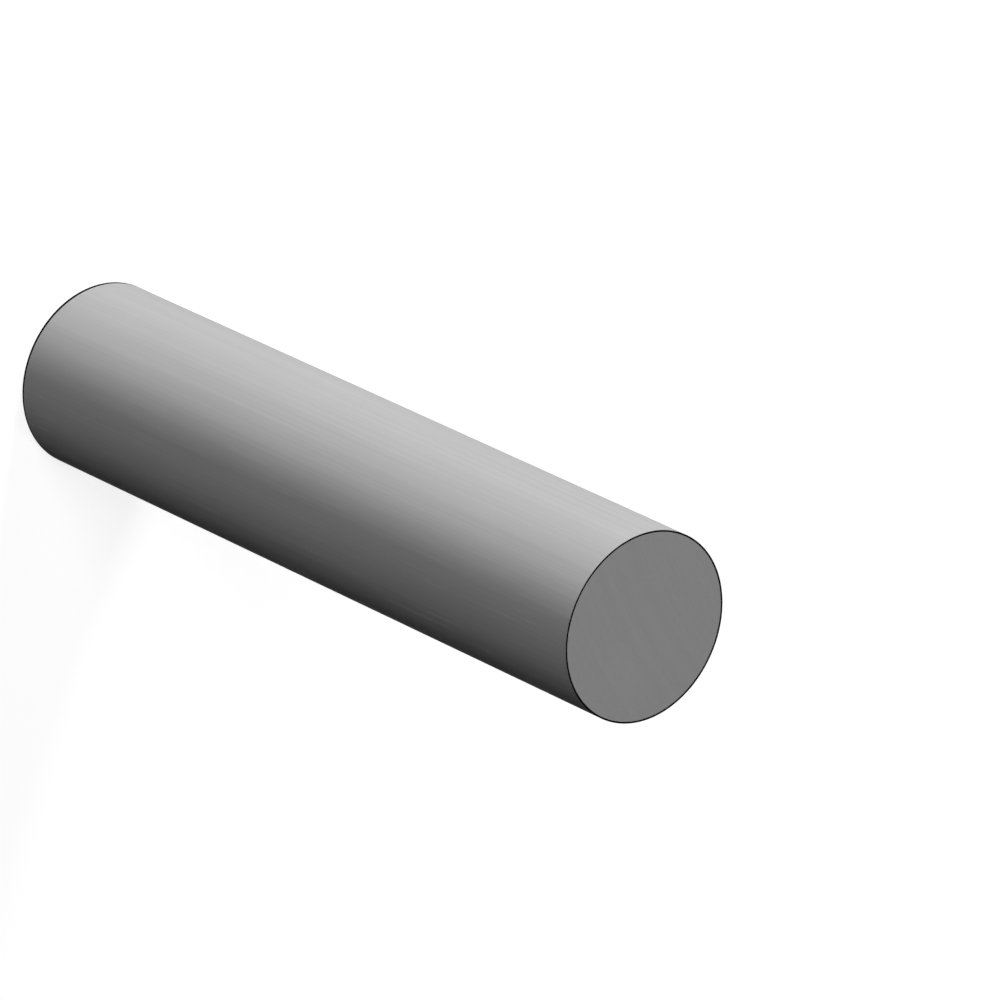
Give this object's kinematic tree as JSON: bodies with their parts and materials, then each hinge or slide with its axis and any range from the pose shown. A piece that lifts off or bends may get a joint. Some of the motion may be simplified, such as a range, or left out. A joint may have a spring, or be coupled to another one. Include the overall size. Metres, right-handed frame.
{
  "type": "round bar",
  "caption": "Solid round metal bar, a short length of stock with square-cut ends and lightly broken edges, standing on one end.",
  "frame": {"origin": "on the floor, in the middle of the cut end that the bar stands on", "axes": "+Z along the bar, up to the cut end that faces the viewer in the picture; X and Y are across it, and all directions across it are alike"},
  "size_m": [0.04, 0.04, 0.18],
  "materials": {
    "bar": "dull grey satin steel with fine lengthwise draw lines, finely cut ends and a dark line where each edge is broken"
  },
  "bodies": {
    "root": {"round_bar": "bar"}
  },
  "joints": []
}
